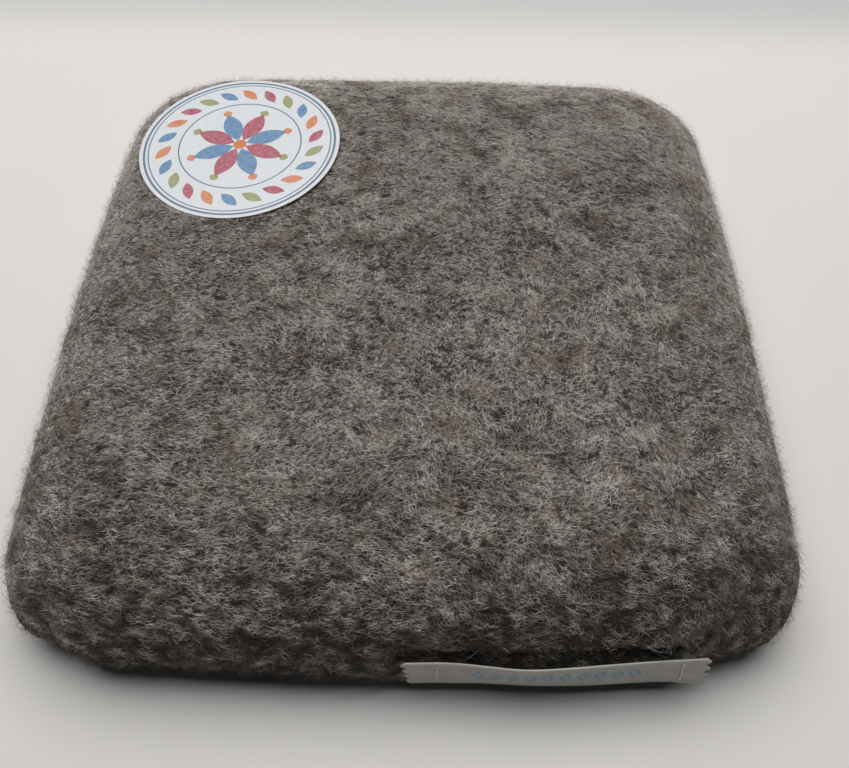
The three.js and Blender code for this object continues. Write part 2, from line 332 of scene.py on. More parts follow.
def feltedWool():
    # Wet-felted natural grey fleece: matt, mottled warm and cool; dark as painted shade under the loose
    # fibre, darker still as painted shade in the hollows of the tufts
    look = {"Roughness": 0.92, "Specular IOR Level": 0.1, "Sheen Weight": 0.3, "Sheen Roughness": 0.5}
    material, tree, shader = startMaterial("felted grey wool", look)
    place = addNode(tree, "ShaderNodeTexCoord").outputs["Object"]
    patches = addNode(tree, "ShaderNodeAttribute", {"attribute_name": "fleece"})  # dark 0 to pale 1, with the painted shade of the front shoulder and right side and the painted light at the back
    tufts = addNode(tree, "ShaderNodeTexNoise", None, {
        "Vector": place, "Scale": 1 / (2.6 * mm), "Detail": 4.0, "Roughness": 0.62,
        "Distortion": 0.8})                                               # matted tufts, 2.6 mm
    fibres = addNode(tree, "ShaderNodeTexNoise", None, {
        "Vector": place, "Scale": 1 / (0.6 * mm), "Detail": 3.0})         # single locks, 0.6 mm
    warm = addRamp(tree, patches.outputs["Fac"], [(0.2, "#3a342e"), (0.5, "#645b52"), (0.8, "#8e847a")])
    relief = addNode(tree, "ShaderNodeMath", {"operation": "ADD"}, {
        0: tufts.outputs["Fac"], 1: fibres.outputs["Fac"]})
    evened = addNode(tree, "ShaderNodeMath", {"operation": "MULTIPLY"}, {0: relief.outputs[0], 1: 0.5})
    # painted shade in the hollows of the bump relief
    depth = addRamp(tree, evened.outputs[0], [(0.4, "#6c6c6c"), (0.51, "#c0c0c0"), (0.62, "#ffffff")])
    mottled = addNode(tree, "ShaderNodeMix", {"data_type": "RGBA", "blend_type": "MULTIPLY"}, {
        "Factor": 1.0, "A": warm, "B": depth})
    pits = addNode(tree, "ShaderNodeAttribute", {"attribute_name": "pit"})
    # painted shade: near black at the bottom of the pits
    pitted = addMix(tree, pits.outputs["Fac"], mottled.outputs["Result"], linear("#2b2420"))
    tree.links.new(pitted, shader.inputs["Base Color"])
    addBump(tree, shader, relief.outputs["Value"], 0.4, 0.9)
    return material


def towardsFront(points, start, reach):  # 0 to 1 from start to start + reach mm in front of the middle
    return np.clip((-points[:, 1] / mm - start) / reach, 0, 1)


def pitAt(points):  # 0 on the open felt, 1 at the bottom of a pit
    along = points * np.array([felt["pitStretch"], 1, 1])
    start = felt["pitFrom"] - felt["frontPits"] * towardsFront(points, *felt["pitted"])
    return np.clip((noiseAt(along, felt["pitSize"], 7.7) - start) / felt["pitSoft"], 0, 1)


def fleeceLevel(points):  # about -1 where the fleece is dark to 1 where it is pale
    along = points * np.array([felt["patchStretch"], 1, 1])
    return sum(noiseAt(along, size, size * 3) * weight for size, weight in felt["patches"])


def paintedFleeceShading(points, normals):  # painted shade on the front shoulder and right side, painted light towards the back
    front, right = np.maximum(-normals[:, 1], 0), np.maximum(normals[:, 0], 0)
    size, weight = fleece["frontPaintedClumps"]
    clumps = weight * front * noiseAt(points, size, 21.0)
    dark = fleece["frontPaintedShade"] * front + fleece["rightPaintedShade"] * right
    return fleece["backPaintedLight"] * np.tanh(points[:, 1] / (fleece["backReach"] * mm)) - dark + clumps


def discPlane(node):  # middle, radius and leaning plane of a round CAD solid
    points = pointsOf(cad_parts[node].data)
    low, high = points.min(0), points.max(0)
    middle, radius = (low + high)[:2] / 2, (high - low)[:2].max() / 2
    plan = np.column_stack([points[:, :2] - middle, np.ones(len(points))])
    return middle, radius, np.linalg.lstsq(plan, points[:, 2], rcond=None)[0]


def pressUnderSticker(points):
    middle, radius, plane = discPlane("sticker_adhesive")
    out = points[:, :2] - middle
    under = out @ plane[:2] + plane[2] - felt["dentRoom"] * mm
    rim = felt["dentRim"] * mm
    held = np.clip((radius + rim - np.linalg.norm(out, axis=1)) / rim, 0, 1)
    points[:, 2] -= held * np.maximum(points[:, 2] - under, 0)


def bedLabel(points):  # the felt meets the label at its foot and falls back behind its head
    low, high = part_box("ribbon_label")
    length, width = label["flat"]
    along, up = (points[:, 0] - low.x) / mm, (points[:, 2] - low.z) / (high.z - low.z) * width
    behind = labelDepth(along, up) + np.interp(up, [0, width], label["bed"]) * mm - points[:, 1]
    pastEnd = np.minimum(along, length - label["freeEnd"] - along)
    pastEdge = np.minimum(up, width - up)
    held = 1 + np.minimum(pastEnd / label["bedFade"][0], pastEdge / label["bedFade"][1])
    onFront = points[:, 1] < low.y + label["bedReach"] * mm
    points[:, 1] += np.clip(held, 0, 1) * onFront * behind


def feltSurface():
    work = bmesh.new()
    for node in ("top_skin", "bottom_skin"):
        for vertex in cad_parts[node].data.vertices:
            work.verts.new(vertex.co)
    hull = bmesh.ops.convex_hull(work, input=work.verts)
    bmesh.ops.delete(work, geom=list({*hull["geom_interior"], *hull["geom_unused"]}), context="VERTS")
    mesh = bpy.data.meshes.new("felt")
    work.to_mesh(mesh)
    work.free()
    mesh = shaped(mesh, [
        ("REMESH", {"mode": "VOXEL", "voxel_size": felt["voxel"] * mm}),
        ("SMOOTH", {"factor": 0.5, "iterations": felt["smoothing"]}),
    ])
    points = pointsOf(mesh)
    nearFront = towardsFront(points, *felt["drawnFrom"])
    for place, reach, depth in felt["drawnIn"]:
        points[:, 1] += depth * mm * nearFront * np.exp(-((points[:, 0] / mm - place) / reach) ** 2)
    rise = sum(noiseAt(points, size, size) * height * mm for size, height in felt["lumps"])
    pit = pitAt(points)
    rise -= pit * felt["pitDepth"] * mm
    free = np.clip(points[:, 2] / (felt["basePress"] * mm), 0, 1)  # flat where it lies on the table
    normals = normalsOf(mesh)
    rise -= felt["napRoom"] * mm * np.hypot(normals[:, 0], normals[:, 1])
    front, height = np.maximum(-normals[:, 1], 0), points[:, 2] / mm
    for (level, reach, depth), way in ((felt["crease"], -1), (felt["lip"], 1)):
        rise += way * depth * mm * front * np.exp(-((height - level) / reach) ** 2)
    points += normals * (rise * free)[:, None]
    points[:, 2] = np.maximum(points[:, 2], 0)
    bedLabel(points)
    pressUnderSticker(points)
    mesh.vertices.foreach_set("co", points.astype(np.float32).ravel())
    mesh.update()
    # the fleece attribute carries painted shade on the front shoulder and right side and painted light
    # towards the back
    level = fleeceLevel(points) + paintedFleeceShading(points, normals) * 0.3
    for name, values in (("pit", pit), ("fleece", level * 0.5 + 0.5)):
        mesh.attributes.new(name, "FLOAT", "POINT").data.foreach_set("value", values.astype(np.float32))
    return mesh


def halfSkin(mesh, belt, upper):
    work = bmesh.new()
    work.from_mesh(mesh)
    wrongSide = [f for f in work.faces if (f.calc_center_median().z > belt) != upper]
    bmesh.ops.delete(work, geom=wrongSide, context="FACES")
    half = bpy.data.meshes.new("half")
    work.to_mesh(half)
    work.free()
    half = shaped(half, [("SOLIDIFY", {"thickness": felt["thickness"] * mm, "offset": -1})])
    half.shade_smooth()
    half.set_sharp_from_angle(angle=math.radians(60))
    return half


feltMesh = feltSurface()
feltTree = treeOf(feltMesh)
feltTriangles = trianglesOf(feltMesh)
beltHeight = (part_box("top_skin")[0].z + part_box("bottom_skin")[1].z) / 2
woolSkin = feltedWool()
for half, node in (("upper", "top_skin"), ("lower", "bottom_skin")):
    halfMesh = halfSkin(feltMesh, beltHeight, half == "upper")
    skin = addPiece(f"{half}_felt_skin", halfMesh, [woolSkin], [node])
print("felt skins,", len(feltMesh.vertices), "points")


# Loose fibre over the felt: thin webs of strands that lie in the skin, and stray hairs

lay = {
    "swirl": 14,             # mm across one turn of the lay
    "swirlPlace": (25, -25),  # mm, middle of the part of the top where it swirls
    "swirlReach": 62,        # mm
    "turn": (8, 80),         # degrees it turns by, far from there and in it
    "jitter": (18, 50),      # degrees between neighbouring strands, likewise
    "fall": -26,             # degrees, how it slants towards the right side
    "fallReach": 75,         # mm
    "sink": 0.15,            # mm that the ends of a strand run into the felt
    "overTable": 0.08,       # mm that a strand stays above the table
    "bridging": 0.3,         # share of the strands that may cross an open pit
}
webs = {
    "count": 17,            # webs that lie in the felt
    "strands": 32000,       # in each web
    "length": (1.4, 4.6),   # mm
    "radius": (0.033, 0.07),
    "lift": (0.0, 0.5),     # mm above the felt at the middle of a strand
    "liftSkew": 1.0,        # 1 is even, more keeps most strands low
    "standing": None,       # lies down again at its end
    "scatter": 0,           # degrees, how far from the lay strands run at least
    "steps": 2,             # pieces of a strand, with a bend between
    "curl": 0.24,           # radians per mm, spread of the bends
    "wobble": 0.3,          # radians per mm, how unsteady a bend is
    "shares": (0.25, 1.0),  # how dense the base and the flat top are, next to the sides
    "underTrim": 2.0,       # mm that strands reach under the sticker and the label
    "seed": 11,
}
fuzz = {
    "count": 3,             # short soft nap, mostly round the sides
    "strands": 16000,
    "length": (1.8, 5.0),
    "radius": (0.022, 0.038),  # twice a wool fibre, so that it shows
    "lift": (0.3, 2.8),     # mm above the felt at the tip
    "liftSkew": 1.5,
    "standing": 1.0,        # higher rises later along the hair
    "scatter": 75,
    "steps": 3,
    "curl": 0.45,
    "wobble": 0.7,
    "shares": (0.0, 0.15),
    "underTrim": -0.5,
    "seed": 29,
}
strays = {
    "count": 1,             # thin cloud of long hairs that stand off the felt
    "strands": 3400,
    "length": (3, 10),
    "radius": (0.016, 0.03),
    "lift": (0.2, 4.0),
    "liftSkew": 2.2,
    "standing": 1.5,
    "scatter": 75,
    "steps": 10,
    "curl": 0.42,
    "wobble": 0.6,
    "shares": (0.0, 0.4),
    "underTrim": -1.0,
    "seed": 47,
}


def woolFibres():
    # Single wool fibres and fine locks: each shade of the fleece is one matt colour with a soft sheen
    look = {"Roughness": 0.7, "Specular IOR Level": 0.12, "Sheen Weight": 0.3}
    shades = []
    for family in ("grey", "brown"):
        for number, hexColour in enumerate(fleece[family]):
            material, _, shader = startMaterial(f"{family} wool fibre {number + 1}", look)
            shader.inputs["Base Color"].default_value = linear(hexColour)
            shades.append(material)
    return shades


def rootsOn(triangles, count, shares, random):
    corner, ab, ac, cross = triangles
    area = np.linalg.norm(cross, axis=1)
    facing = cross[:, 2] / np.maximum(area, 1e-15)  # -1 on the base, 1 on the flat top
    weight = area * np.interp(facing, [-0.9, -0.7, 0.6, 0.95], [shares[0], 1, 1, shares[1]])
    tries = count * 3 // 2
    chosen = random.choice(len(area), tries, p=weight / weight.sum())
    u, v = random.random((2, tries))
    u, v = np.where(u + v > 1, 1 - u, u), np.where(u + v > 1, 1 - v, v)
    roots = corner[chosen] + ab[chosen] * u[:, None] + ac[chosen] * v[:, None]
    keep = np.flatnonzero(pitAt(roots) < random.random(tries))[:count]  # pits stay open
    return roots[keep], unit(cross[chosen[keep]])


def turned(vectors, normals, angles):
    side = np.cross(normals, vectors)
    return vectors * np.cos(angles)[:, None] + side * np.sin(angles)[:, None]


def layOf(roots, normals, scatter, random):  # left to right and over the edges, swirled on part of the top
    across = np.cross([0.0, 1.0, 0.0], normals) + np.array([0.05, 0, 0])
    across = unit(across - normals * (across * normals).sum(1)[:, None])
    out = np.linalg.norm(roots[:, :2] / mm - np.array(lay["swirlPlace"]), axis=1) / lay["swirlReach"]
    turn, jitter = (np.interp(np.exp(-out ** 2), [0, 1], lay[k]) for k in ("turn", "jitter"))
    slant = lay["fall"] * np.clip(roots[:, 0] / (lay["fallReach"] * mm), 0, 1)
    slant += turn * noiseAt(roots, lay["swirl"], 3.1) * 2.2
    slant += random.normal(0, 1, len(roots)) * np.maximum(jitter, scatter)
    return turned(across, normals, np.radians(slant))


def nearestOn(tree, points):
    hits = np.array([[c for v in tree.find_nearest(p)[:2] for c in v] for p in points.tolist()])
    return hits[:, :3], hits[:, 3:]


def clearOfTrim(path, under):  # strands that stay off the sticker and the label
    low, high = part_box("sticker_film")
    middle, reach = np.array((low + high)[:2]) / 2, (high.x - low.x) / 2 - under
    offSticker = (np.linalg.norm(path[:, :, :2] - middle, axis=2) > reach) | (path[:, :, 2] < low.z * 0.8)
    low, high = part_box("ribbon_label")
    length, width = label["flat"]
    along = (path[:, :, 0] - low.x) / mm
    rise = (path[:, :, 2] - low.z) / (high.z - low.z) * width
    inLabel = (along > -1) & (along < length + 1) & (rise > -1) & (rise < width + 1)
    inLabel &= path[:, :, 1] < labelDepth(along, rise) + label["clear"] * mm
    return offSticker.all(1) & ~inLabel.any(1)


def growStrands(make, random):
    count, steps, standing = make["strands"], make["steps"], make["standing"]
    roots, normals = rootsOn(feltTriangles, count, make["shares"], random)
    heading = layOf(roots, normals, make["scatter"], random)
    length = random.uniform(*make["length"], count) * mm
    bend = random.normal(0, make["curl"], count)
    lowest, highest = make["lift"]
    lift = (lowest + (highest - lowest) * random.random(count) ** make["liftSkew"]) * mm
    place = roots - heading * (length / 2)[:, None]
    path, up = [], []
    for step in range(steps + 1):
        place, normals = nearestOn(feltTree, place)
        heading = unit(heading - normals * (heading * normals).sum(1)[:, None])
        share = step / steps
        arch = share ** standing if standing else 4 * share * (1 - share)
        height = lift * arch - lay["sink"] * mm * (1 - share if standing else 1)
        path.append(place + normals * height[:, None])
        up.append(normals)
        place = place + heading * (length / steps)[:, None]
        unsteady = random.normal(0, make["wobble"], count)
        heading = turned(heading, normals, (bend + unsteady) * length / mm / steps)
    path = np.stack(path, 1)
    path[:, :, 2] = np.maximum(path[:, :, 2], lay["overTable"] * mm)
    crossed = pitAt(path.reshape(-1, 3)).reshape(count, -1).max(1)  # few strands bridge a pit
    keep = clearOfTrim(path, make["underTrim"] * mm)
    keep &= crossed < random.random(count) + lay["bridging"]
    return path[keep], np.stack(up, 1)[keep], (lift / (highest * mm))[keep]


def strandMesh(name, path, up, radius, shade, sides=3, pointed=0.4):
    count, knots = path.shape[:2]
    along = unit(np.gradient(path, axis=1))
    side = unit(np.cross(up, along))
    over = np.cross(along, side)
    taper = np.sin(np.pi * np.linspace(0, 1, knots)) ** pointed
    girth = radius[:, None] * taper[None, :]
    inner = slice(1, knots - 1)
    corners = []
    for turn in np.arange(sides) * 2 * np.pi / sides:
        ring = side[:, inner] * math.cos(turn) + over[:, inner] * math.sin(turn)
        corners.append(path[:, inner] + ring * girth[:, inner, None])
    rings = np.stack(corners, 2).reshape(count, -1, 3)
    points = np.concatenate([path[:, :1], rings, path[:, -1:]], 1)
    last = points.shape[1] - 1
    faces = []
    for a in range(sides):
        b = (a + 1) % sides
        faces.append((0, 1 + b, 1 + a))
        for ring in range(knots - 3):
            low, high = 1 + sides * ring, 1 + sides * (ring + 1)
            faces += [(low + a, low + b, high + b), (low + a, high + b, high + a)]
        faces.append((last, last - sides + a, last - sides + b))
    faces = np.array(faces)
    triangles = faces[None] + (np.arange(count) * points.shape[1])[:, None, None]
    mesh = triangleMesh(name, points.reshape(-1, 3), triangles.reshape(-1, 3))
    mesh.polygons.foreach_set("material_index", np.repeat(shade, len(faces)).astype(np.int32))
    return mesh


def shadesFor(path, up, lift, random):
    roots = path[:, path.shape[1] // 2]
    low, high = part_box("top_skin")
    inward = np.minimum(roots[:, 1] - low.y, high.y - roots[:, 1]) / (fleece["spreadReach"] * mm)
    inward = np.clip(inward, 0, 1) ** 2
    spread, pale = (np.interp(inward, [0, 1], fleece[k]) for k in ("spread", "pale"))
    level = fleeceLevel(roots) + random.normal(0, 1, len(roots)) * spread
    # adds painted shade on the front shoulder and right side and painted light towards the back
    # painted light on strands that lie on top, painted shade on low ones
    level += pale + fleece["proud"] * (lift - 0.5) + paintedFleeceShading(roots, up[:, up.shape[1] // 2])
    warmth = noiseAt(roots, fleece["brownSize"], 31.0) + random.normal(0, 0.3, len(roots))
    grey, brown = (np.clip(np.rint((level + 1) / 2 * (len(fleece[f]) - 1)), 0, len(fleece[f]) - 1)
                   for f in ("grey", "brown"))
    return np.where(warmth > fleece["brownFrom"], brown + len(fleece["grey"]), grey).astype(int)


def makeWebs():
    shades = woolFibres()
    for name, make in (("felt_web", webs), ("felt_nap", fuzz), ("stray_hairs", strays)):
        random = np.random.default_rng(make["seed"])
        for number in range(make["count"]):
            path, up, lift = growStrands(make, random)
            radius = random.uniform(*make["radius"], len(path)) * mm
            mesh = strandMesh(name, path, up, radius, shadesFor(path, up, lift, random))
            addPiece(f"{name}_{number + 1}", mesh, shades)


# Core batts of carded wool, inside the skins

batts = {"voxel": 3.0, "dips": (7, 0.8), "count": 5}  # mm; dips are mm across and mm deep


def cardedWool():
    # Carded fleece: pale matt webs, streaked along the card's pull
    look = {"Roughness": 0.95, "Specular IOR Level": 0.2}
    material, tree, shader = startMaterial("carded wool batt", look)
    place = addNode(tree, "ShaderNodeTexCoord").outputs["Object"]
    pull = addNode(tree, "ShaderNodeMapping", None, {"Vector": place, "Scale": (0.12, 1.0, 1.0)})
    streaks = addNode(tree, "ShaderNodeTexNoise", None, {
        "Vector": pull.outputs["Vector"], "Scale": 1 / (1.5 * mm), "Detail": 4.0})  # locks, 1.5 mm
    colour = addRamp(tree, streaks.outputs["Fac"], [
        (0.3, "#6f675e"), (0.55, "#8b8379"), (0.75, "#a39b90")])
    tree.links.new(colour, shader.inputs["Base Color"])
    addBump(tree, shader, streaks.outputs["Fac"], 0.5)
    return material


def makeBatts():
    material = cardedWool()
    size, depth = batts["dips"]
    for number in range(1, batts["count"] + 1):
        node = f"core_batt_{number}"
        mesh = shaped(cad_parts[node].data.copy(), [
            ("REMESH", {"mode": "VOXEL", "voxel_size": batts["voxel"] * mm})])
        points = pointsOf(mesh)
        dip = (noiseAt(points, size, number) * 0.5 + 0.5) * depth * mm
        points -= normalsOf(mesh) * dip[:, None]
        mesh.vertices.foreach_set("co", points.astype(np.float32).ravel())
        mesh.update()
        mesh.shade_smooth()
        batt = addPiece(f"carded_batt_{number}", mesh, [material], [node])


makeBatts()
print("core batts made")


def wovenRibbon():
    # Polyester taffeta ribbon: fine cross ribs with a low satin sheen, its white greyed as painted shade, a
    # pale printed row of lozenges
    material, tree, shader = startMaterial("woven taffeta ribbon", {"Roughness": 0.55, "Sheen Weight": 0.2})
    place = addNode(tree, "ShaderNodeAttribute", {"attribute_name": "cloth"}).outputs["Vector"]
    parts = addNode(tree, "ShaderNodeSeparateXYZ", None, {"Vector": place})
    values = {"along": parts.outputs["X"], "across": parts.outputs["Y"]}
    pitch, tall = label["lozenge"]
    values = mathSteps(tree, values, [
        ("turn", "DIVIDE", "along", pitch),
        ("part", "FRACT", "turn", 0.0),
        ("side", "SUBTRACT", "part", 0.5),
        ("wide", "ABSOLUTE", "side", 0.0),
        ("reach", "MULTIPLY", "wide", 2.6),
        ("middle", "SUBTRACT", "across", label["flat"][1] / 2),
        ("height", "ABSOLUTE", "middle", 0.0),
        ("rise", "DIVIDE", "height", tall),
        ("edge", "ADD", "reach", "rise"),
        ("inside", "LESS_THAN", "edge", 1.0),
        ("core", "LESS_THAN", "edge", 0.45),
        ("ring", "SUBTRACT", "inside", "core"),
        ("fromLeft", "GREATER_THAN", "along", label["printed"][0]),
        ("fromRight", "LESS_THAN", "along", label["printed"][1]),
        ("zone", "MULTIPLY", "fromLeft", "fromRight"),
        ("printed", "MULTIPLY", "ring", "zone"),
    ])
    cloud = addNode(tree, "ShaderNodeTexNoise", None, {"Vector": place, "Scale": 0.35, "Detail": 3.0})
    # the ribbon's white is greyed as painted shade
    white = addRamp(tree, cloud.outputs["Fac"], [(0.3, "#b0ada8"), (0.7, label["thread"])])
    cover = addNode(tree, "ShaderNodeMapRange", None, {
        "Value": cloud.outputs["Fac"], "From Min": 0.3, "From Max": 0.7, "To Min": 0.6, "To Max": 1.0})
    worn = addNode(tree, "ShaderNodeMath", {"operation": "MULTIPLY"}, {
        0: values["printed"], 1: cover.outputs["Result"]})
    dyed = addMix(tree, worn.outputs[0], white, linear(label["print"]))
    tree.links.new(dyed, shader.inputs["Base Color"])
    ribs = addNode(tree, "ShaderNodeTexWave", {"bands_direction": "Y"}, {
        "Vector": place, "Scale": 0.55, "Distortion": 0.6})  # weft ribs, drawn at 0.6 mm, twice the real
    addBump(tree, shader, ribs.outputs["Fac"], 0.1, 0.35)
    return material


def makeLabel():
    length, width = label["flat"]
    columns, rows = label["columns"], label["rows"]
    share, up = np.meshgrid(np.linspace(0, 1, columns), np.linspace(0, width, rows), indexing="ij")
    zigzag = np.abs((up / width * label["pinkTeeth"]) % 1 - 0.5) * 2 * label["pinkDepth"]
    along = zigzag + share * (length - 2 * zigzag)
    flatAlong, flatUp = along.ravel(), up.ravel()
    low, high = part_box("ribbon_label")
    rise = low.z + (high.z - low.z) * flatUp / width
    nearEnd = np.exp(-np.minimum(flatAlong, length - flatAlong) / label["skewReach"])
    skewed = flatAlong + label["skew"] * (1 - flatUp / width) * nearEnd
    face = np.stack([low.x + skewed * mm, labelDepth(flatAlong, flatUp), rise], 1)
    creases = noiseAt(np.stack([flatAlong * 0.25, flatUp, flatUp * 0], 1) * mm, 2.6, 4.0)
    face[:, 1] += creases * label["ripple"] * mm
    edge = np.minimum(flatUp, width - flatUp)
    round01 = np.clip(edge / label["selvage"], 0, 1)
    extra = (label["selvageThickness"] - label["thickness"]) * np.sin(np.pi * round01) ** 0.5
    half = (label["thickness"] + np.where(round01 < 1, extra, 0)) / 2 * mm
    half = half * np.clip(edge / 0.15 + 0.35, 0, 1)
    middle = face + np.array([0, label["thickness"] / 2 * mm, 0])
    front, back = middle - np.outer(half, [0, 1, 0]), middle + np.outer(half, [0, 1, 0])
    points = np.concatenate([front, back])
    grid = np.arange(columns * rows).reshape(columns, rows)
    a, b, c, d = grid[:-1, :-1].ravel(), grid[1:, :-1].ravel(), grid[1:, 1:].ravel(), grid[:-1, 1:].ravel()
    offset = columns * rows
    outside = [np.stack([a, b, c], 1), np.stack([a, c, d], 1)]
    inside = [np.stack([a, c, b], 1) + offset, np.stack([a, d, c], 1) + offset]
    rim = np.concatenate([grid[:, 0], grid[-1, 1:], grid[-2::-1, -1], grid[0, -2:0:-1]])
    after = np.roll(rim, -1)
    wall = [np.stack([rim, rim + offset, after + offset], 1), np.stack([rim, after + offset, after], 1)]
    mesh = triangleMesh("label", points, np.concatenate(outside + inside + wall))
    cloth = np.tile(np.stack([flatAlong, flatUp, flatUp * 0], 1), (2, 1))
    onCloth = mesh.attributes.new("cloth", "FLOAT_VECTOR", "POINT")
    onCloth.data.foreach_set("vector", cloth.astype(np.float32).ravel())
    piece = addPiece("ribbon_strip", mesh, [wovenRibbon()], ["ribbon_label"])
    return treeOf(mesh)


labelTree = makeLabel()
print("label laid")


# Stitches: three plies of white sewing thread, out of the felt, over the label and back in

thread = {
    "plyRadius": 0.15,   # mm
    "plyTwist": 0.15,    # mm from the thread's middle to a ply's middle
    "pitch": 1.5,        # mm for one full turn
    "bury": 3.0,         # mm each end runs into the felt
    "trim": 0.35,        # mm from the solid's top and foot to the thread's middle
    "proud": 0.3,        # mm that it stands off the label
    "behind": 0.9,       # mm behind the label's face where its legs run
    "entry": 2.5,        # mm above its foot, where the felt is close behind the label
    "knots": 190,
}


def spunThread():
    # Spun polyester thread: white, a little glossy along each ply
    look = {"Roughness": 0.5, "Sheen Weight": 0.3}
    material, tree, shader = startMaterial("spun sewing thread", look)
    place = addNode(tree, "ShaderNodeTexCoord").outputs["Object"]
    lint = addNode(tree, "ShaderNodeTexNoise", None, {
        "Vector": place, "Scale": 1 / (0.3 * mm)})  # fibre ends, 0.3 mm
    colour = addRamp(tree, lint.outputs["Fac"], [(0.3, "#dcd9d2"), (0.7, "#faf8f4")])
    tree.links.new(colour, shader.inputs["Base Color"])
    addBump(tree, shader, lint.outputs["Fac"], 0.05)
    return material


def makeStitch(name, node, slanted, material):
    low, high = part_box(node)
    reach = thread["bury"] * mm
    topX, footX = (low.x, high.x) if slanted else ((low.x + high.x) / 2,) * 2
    topZ, footZ = high.z - thread["trim"] * mm, low.z + thread["trim"] * mm
    run = []
    for share in np.linspace(0, 1, 30):
        x, z = topX + (footX - topX) * share, topZ + (footZ - topZ) * share
        hit = labelTree.ray_cast(Vector((x, -0.2, z)), Vector((0, 1, 0)))
        proud = thread["proud"] * mm * min(1, 8 * share, 8 * (1 - share))
        run.append((x, hit[0].y - proud, z))
    behind, innerZ = thread["behind"] * mm, footZ + thread["entry"] * mm
    inFelt = feltTree.ray_cast(Vector(((topX + footX) / 2, -0.2, innerZ)), Vector((0, 1, 0)))[0].y + reach
    line = []
    for x, z, turn in ((topX, topZ, 1), (footX, footZ, -1)):  # legs turn in behind the label
        face = run[0] if turn == 1 else run[-1]
        leg = [(x, inFelt, innerZ + turn * mm), (x, face[1] + behind, innerZ + turn * 2 * mm),
               (x, face[1] + behind, z - turn * 0.6 * mm), (x, face[1] + behind * 0.5, z)]
        line.append(leg)
    line = np.array(line[0] + run + line[1][::-1])
    gone = np.concatenate([[0], np.cumsum(np.linalg.norm(np.diff(line, axis=0), axis=1))])
    spots = np.linspace(0, gone[-1], thread["knots"])
    middle = np.stack([np.interp(spots, gone, line[:, i]) for i in range(3)], 1)
    for _ in range(3):  # rounds the turns into the needle holes
        middle[1:-1] = (middle[:-2] + 2 * middle[1:-1] + middle[2:]) / 4
    along = unit(np.gradient(middle, axis=0))
    side = unit(np.cross(along, [1.0, 0.13, 0.07]))
    over = np.cross(along, side)
    paths = []
    for ply in range(3):
        turn = 2 * np.pi * (spots / mm / thread["pitch"] + ply / 3)
        around = side * np.cos(turn)[:, None] + over * np.sin(turn)[:, None]
        paths.append(middle + around * thread["plyTwist"] * mm)
    path = np.stack(paths)
    radius = np.full(3, thread["plyRadius"] * mm)
    mesh = strandMesh("stitch", path, np.stack([over] * 3), radius, np.zeros(3), 6, 0.05)
    addPiece(name, mesh, [material], [node])


threadLook = spunThread()
makeStitch("stitch_left", "label_stitch_left", False, threadLook)
makeStitch("stitch_right", "label_stitch_right", True, threadLook)
print("stitches sewn")


# Round sticker on the back left of the top: printed film over its adhesive

sticker = {
    "rings": 40,
    "around": 160,
    "warp": 0.18,          # mm, the film is not quite flat
    "filmThickness": 0.3,
    "glueThickness": 0.2,
    "edgeRound": 0.06,     # mm, the cut edge
    "white": "#dde0e3",
    "line": "#566f86",     # rim rings
    "lineRadii": [(30.2, 0.36), (28.9, 0.2), (19.4, 0.22)],  # mm, half width
    "wreath": {"count": 22, "radius": 24.2, "long": 3.6, "wide": 1.65, "tilt": 48,
               "inks": ["#a2304b", "#cc7438", "#4479a5", "#8d8f52"]},
    "rosette": {"count": 8, "radius": 8.6, "long": 6.6, "wide": 3.0, "tilt": 0,
                "inks": ["#4479a5", "#a2304b"]},
    "berries": {"count": 8, "radius": 15.8, "long": 1.5, "wide": 1.5, "tilt": 0,
                "inks": ["#cc7438", "#8d8f52"]},
    "heart": 2.1,          # mm, the dot in the middle
}


def petalRing(tree, radius, angle, ring):  # mask and ink of one ring of pointed petals
    tilt, pitch = math.radians(ring["tilt"]), 2 * math.pi / ring["count"]
    values = mathSteps(tree, {"radius": radius, "angle": angle}, [
        ("turn", "DIVIDE", "angle", pitch),
        ("whole", "FLOOR", "turn", 0.0),
        ("part", "SUBTRACT", "turn", "whole"),
        ("centred", "SUBTRACT", "part", 0.5),
        ("local", "MULTIPLY", "centred", pitch),
        ("cos", "COSINE", "local", 0.0),
        ("sin", "SINE", "local", 0.0),
        ("out", "MULTIPLY", "radius", "cos"),
        ("x", "SUBTRACT", "out", ring["radius"]),
        ("y", "MULTIPLY", "radius", "sin"),
        ("xc", "MULTIPLY", "x", math.cos(tilt)),
        ("ys", "MULTIPLY", "y", math.sin(tilt)),
        ("length", "ADD", "xc", "ys"),
        ("yc", "MULTIPLY", "y", math.cos(tilt)),
        ("xs", "MULTIPLY", "x", math.sin(tilt)),
        ("width", "SUBTRACT", "yc", "xs"),
        ("reach", "DIVIDE", "length", ring["long"]),
        ("square", "MULTIPLY", "reach", "reach"),
        ("narrow", "SUBTRACT", 1.0, "square"),
        ("allowed", "MULTIPLY", "narrow", ring["wide"]),
        ("span", "ABSOLUTE", "width", 0.0),
        ("mask", "LESS_THAN", "span", "allowed"),
        ("fromStart", "ADD", "whole", 2.0 * ring["count"]),
        ("ink", "MODULO", "fromStart", float(len(ring["inks"]))),
        ("inkShare", "DIVIDE", "ink", float(len(ring["inks"]))),
        ("inkPlace", "ADD", "inkShare", 0.01),
    ])
    stops = [(i / len(ring["inks"]), colour) for i, colour in enumerate(ring["inks"])]
    return values["mask"], addRamp(tree, values["inkPlace"], stops, "CONSTANT")


